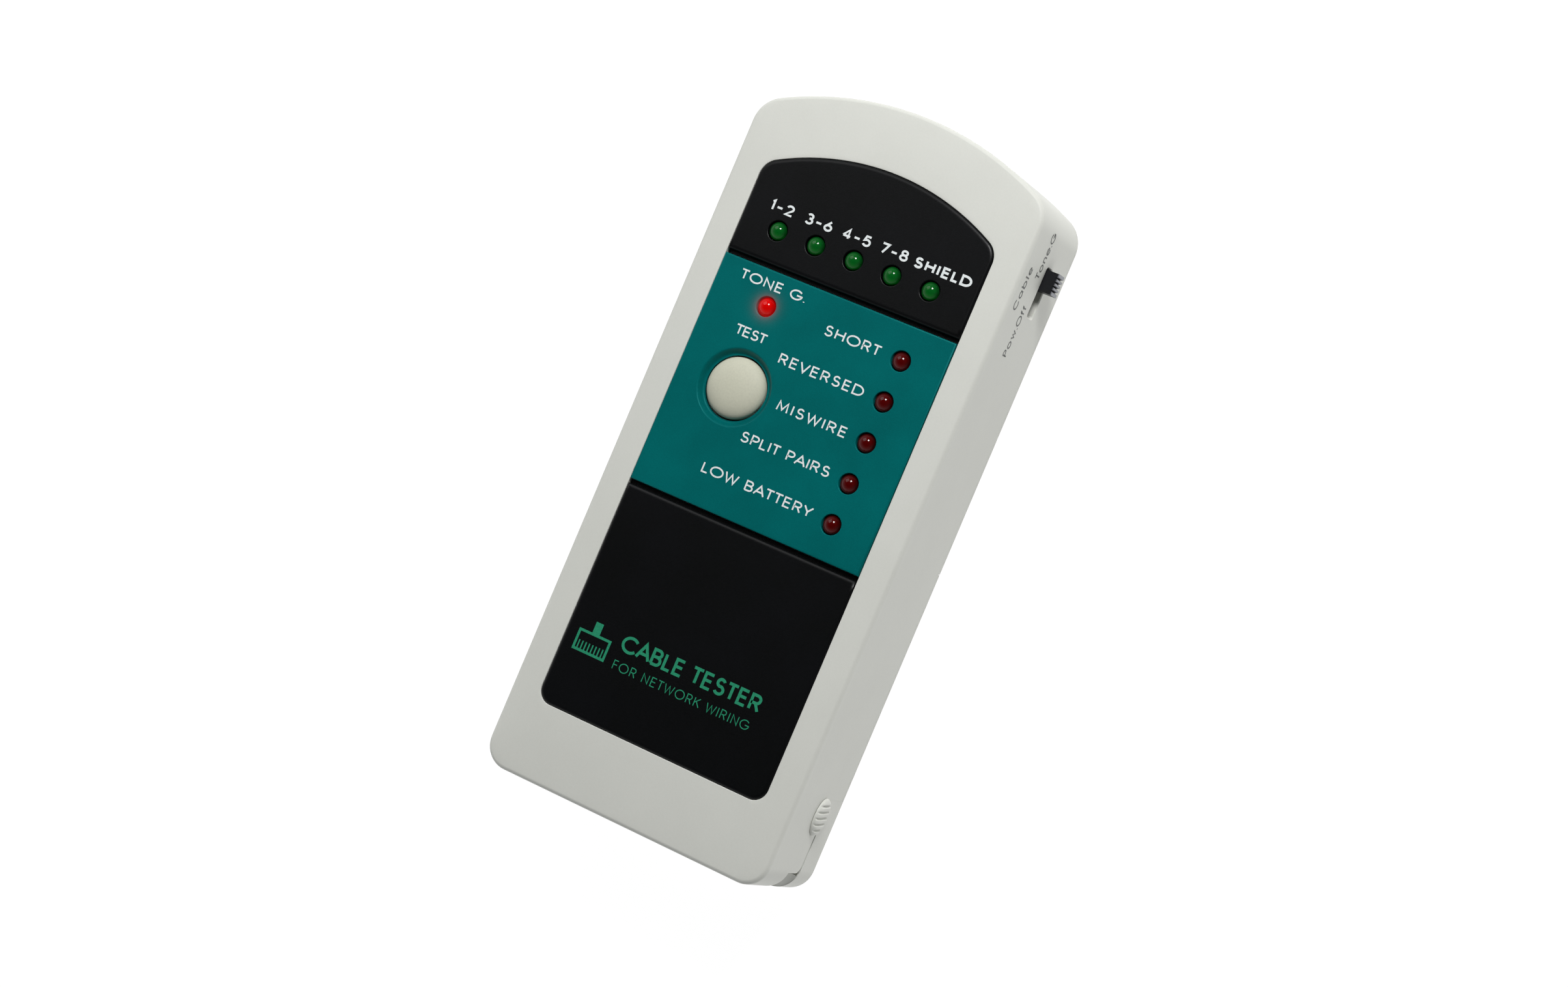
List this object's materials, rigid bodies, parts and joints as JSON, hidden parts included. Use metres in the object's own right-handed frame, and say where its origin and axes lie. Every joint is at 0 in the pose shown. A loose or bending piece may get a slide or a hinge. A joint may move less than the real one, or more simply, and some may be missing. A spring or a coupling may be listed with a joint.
{
  "type": "network cable tester",
  "caption": "Pocket network cable tester with a socket at its head, pair and fault lamps, a test key, a three-position slide switch and a battery cover that slides off.",
  "frame": {"origin": "on the flat back face, at the middle of the case's length and width, so the tester lies on its back on z = 0", "axes": "+Z out of the display face, +Y along the case towards the socket end, +X across the case towards the slide switch"},
  "size_m": [0.053, 0.116, 0.0232],
  "materials": {
    "case_abs": "moulded ABS, warm light grey, fine matt spark grain",
    "plate_black": "moulded black plate, satin with fine grain",
    "plate_teal": "moulded teal plate, fine matt grain",
    "key_ivory": "moulded ivory key, semi-gloss",
    "lamp_green": "tinted clear epoxy, green, unlit",
    "lamp_red": "tinted clear epoxy, red, unlit",
    "lamp_lit": "tinted clear epoxy, red, lit",
    "print_white": "screen-printed ink, white",
    "print_green": "screen-printed ink, green",
    "print_dark": "screen-printed ink, dark grey",
    "board_laminate": "glass-epoxy board under green solder mask",
    "black_moulding": "black moulded nylon and epoxy",
    "phenolic": "phenolic switch base",
    "steel": "zinc-plated steel",
    "tinned_metal": "tinned sheet metal",
    "contact_gold": "gold-plated phosphor bronze",
    "battery_jacket": "printed metal battery jacket",
    "lead_red": "red PVC wire insulation",
    "capacitor_sleeve": "blue shrink sleeve",
    "resistor_coat": "conformal resistor coating"
  },
  "bodies": {
    "case": {"front_shell": "case_abs", "back_cover": "case_abs", "upper_face_plate": "plate_black", "centre_face_plate": "plate_teal", "lower_face_plate": "plate_black", "push_switch": "black_moulding", "pair_lamp_1": "lamp_green", "pair_lamp_2": "lamp_green", "pair_lamp_3": "lamp_green", "pair_lamp_4": "lamp_green", "pair_lamp_5": "lamp_green", "tone_lamp": "lamp_lit", "fault_lamp_1": "lamp_red", "fault_lamp_2": "lamp_red", "fault_lamp_3": "lamp_red", "fault_lamp_4": "lamp_red", "fault_lamp_5": "lamp_red", "main_board": "board_laminate", "slide_switch_base": "phenolic", "slide_switch_frame": "steel", "jack_housing": "black_moulding", "jack_shield": "tinned_metal", "jack_contact_1": "contact_gold", "jack_contact_2": "contact_gold", "jack_contact_3": "contact_gold", "jack_contact_4": "contact_gold", "jack_contact_5": "contact_gold", "jack_contact_6": "contact_gold", "jack_contact_7": "contact_gold", "jack_contact_8": "contact_gold", "battery": "battery_jacket", "battery_snap": "black_moulding", "snap_lead_plus": "lead_red", "snap_lead_minus": "black_moulding", "controller_chip": "black_moulding", "driver_chip": "black_moulding", "filter_capacitor": "capacitor_sleeve", "resistor_array": "resistor_coat", "clock_crystal": "tinned_metal", "case_screw_1": "steel", "case_screw_2": "steel", "case_screw_3": "steel", "case_screw_4": "steel", "board_screw_1": "steel", "board_screw_2": "steel"},
    "key": {"test_button": "key_ivory", "push_plunger": "black_moulding"},
    "switch_slider": {"slide_switch_slider": "black_moulding", "slide_knob": "black_moulding"},
    "cover": {"battery_cover": "case_abs"}
  },
  "joints": [
    {"name": "key_press", "type": "slide", "parent": "case", "child": "key", "axis": [0, 0, -1], "range_m": [0, 0.0006], "stiffness_N_per_m": 2000},
    {"name": "switch_slide", "type": "slide", "parent": "case", "child": "switch_slider", "axis": [0, -1, 0], "range_m": [0, 0.004]},
    {"name": "cover_slide", "type": "slide", "parent": "case", "child": "cover", "axis": [0, -1, 0], "range_m": [0, 0.056]}
  ]
}
